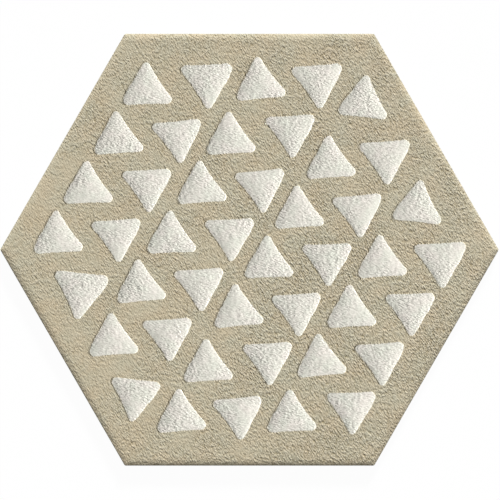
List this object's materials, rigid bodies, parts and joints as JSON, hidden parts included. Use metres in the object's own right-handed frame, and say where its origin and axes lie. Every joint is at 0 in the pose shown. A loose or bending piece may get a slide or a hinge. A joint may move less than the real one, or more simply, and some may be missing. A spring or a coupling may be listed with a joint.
{
  "type": "hexagon floor tile",
  "caption": "Hexagonal ceramic floor tile with a cushioned rim, low raised triangles on a sanded face and a pocketed back.",
  "frame": {"origin": "centre of the plane that lies on the bed, under the middle of the hexagon", "axes": "+Z out of the face, +X to a corner of the hexagon, +Y square to the side that is uppermost in the picture"},
  "size_m": [0.293, 0.254, 0.01],
  "materials": {
    "sanded_body": "matt, sandy",
    "white_glaze": "matt, finely pitted"
  },
  "bodies": {
    "root": {"hexagon_tile": "sanded_body"}
  },
  "joints": []
}
